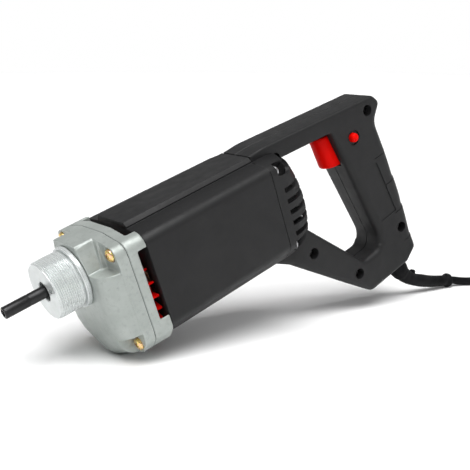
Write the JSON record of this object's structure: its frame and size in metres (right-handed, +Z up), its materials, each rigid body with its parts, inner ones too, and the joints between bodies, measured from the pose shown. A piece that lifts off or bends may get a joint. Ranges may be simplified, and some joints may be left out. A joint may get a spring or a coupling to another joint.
{
  "type": "concrete vibrator",
  "caption": "Hand-held electric drive for a concrete vibrator: D-handle with trigger, black motor housing, cast gear case and a threaded nose for the poker hose.",
  "frame": {"origin": "centre of the tool's box at floor level, measured without the free cord, its coil and its plug", "axes": "+X from the threaded nose to the handle, along the floor; -Y the tool's left side, with the lock button; +Z up. The spindle axis is pitched 20 degrees nose-down in the XZ plane."},
  "size_m": [0.5515, 0.149, 0.1767],
  "materials": {
    "cast_aluminium": "grey-green lacquered casting",
    "machined_aluminium": "turned",
    "black_plastic": "fine moulded texture",
    "red_plastic": "moulded",
    "steel": "ground",
    "blackened_steel": "blackened",
    "passivated_zinc": "yellow passivated zinc plate",
    "rubber": "matt",
    "copper": "enamelled or bare copper",
    "laminations": "stacked sheet",
    "carbon": "dull",
    "insulator": "moulded"
  },
  "bodies": {
    "tool": {"gear_case_cover": "cast_aluminium", "bearing_plate": "cast_aluminium", "threaded_spigot": "machined_aluminium", "gear_case_gasket": "rubber", "spindle_seal": "rubber", "spindle_front_bearing": "steel", "spindle_rear_bearing": "steel", "armature_front_bearing": "steel", "armature_rear_bearing": "steel", "motor_housing": "black_plastic", "handle_left_shell": "black_plastic", "handle_right_shell": "black_plastic", "air_baffle": "black_plastic", "stator_core": "laminations", "field_coil_upper": "copper", "field_coil_lower": "copper", "brush_holder_left": "insulator", "brush_holder_right": "insulator", "carbon_brush_left": "carbon", "carbon_brush_right": "carbon", "brush_spring_left": "steel", "brush_spring_right": "steel", "switch_body": "black_plastic", "cord_clamp": "black_plastic", "suppression_capacitor": "insulator", "trigger_spring": "steel", "lock_spring": "steel", "cord_boot": "rubber", "cord_lead": "rubber", "cord_tail": "rubber", "cord_coil": "rubber", "plug": "rubber", "plug_pin_1": "steel", "plug_pin_2": "steel", "gear_case_screw_1": "passivated_zinc", "gear_case_screw_2": "passivated_zinc", "gear_case_screw_3": "passivated_zinc", "gear_case_screw_4": "passivated_zinc", "housing_screw_1": "steel", "housing_screw_2": "steel", "housing_screw_3": "steel", "housing_screw_4": "steel", "handle_screw_1": "steel", "handle_screw_2": "steel", "handle_screw_3": "steel", "handle_screw_4": "steel", "handle_screw_5": "steel", "clamp_screw_1": "steel", "clamp_screw_2": "steel"},
    "spindle": {"drive_spindle": "blackened_steel", "output_gear": "steel", "gear_circlip": "steel"},
    "armature": {"armature_shaft": "steel", "armature_core": "laminations", "armature_winding_front": "copper", "armature_winding_rear": "copper", "commutator": "copper", "cooling_fan": "red_plastic"},
    "trigger": {"trigger": "red_plastic"},
    "lock_button": {"lock_button": "red_plastic"}
  },
  "joints": [
    {"name": "armature_spin", "type": "hinge", "parent": "tool", "child": "armature", "pos_m": [-0.08187, 0, 0.06092], "axis": [0.9397, 0, 0.342], "continuous": true},
    {"name": "spindle_spin", "type": "hinge", "parent": "tool", "child": "spindle", "pos_m": [-0.18473, 0, 0.05115], "axis": [0.9397, 0, 0.342], "continuous": true},
    {"name": "trigger_slide", "type": "slide", "parent": "tool", "child": "trigger", "axis": [0.8544, 0, 0.5197], "range_m": [0, 0.006], "stiffness_N_per_m": 600, "springref_m": -0.003, "deforming": ["trigger_spring"]},
    {"name": "lock_button_slide", "type": "slide", "parent": "tool", "child": "lock_button", "axis": [0, 1, 0], "range_m": [0, 0.003], "stiffness_N_per_m": 400, "springref_m": -0.002, "deforming": ["lock_spring"]}
  ],
  "couplings": [
    {"joint": "spindle_spin", "follows": "armature_spin", "ratio": -0.3}
  ]
}
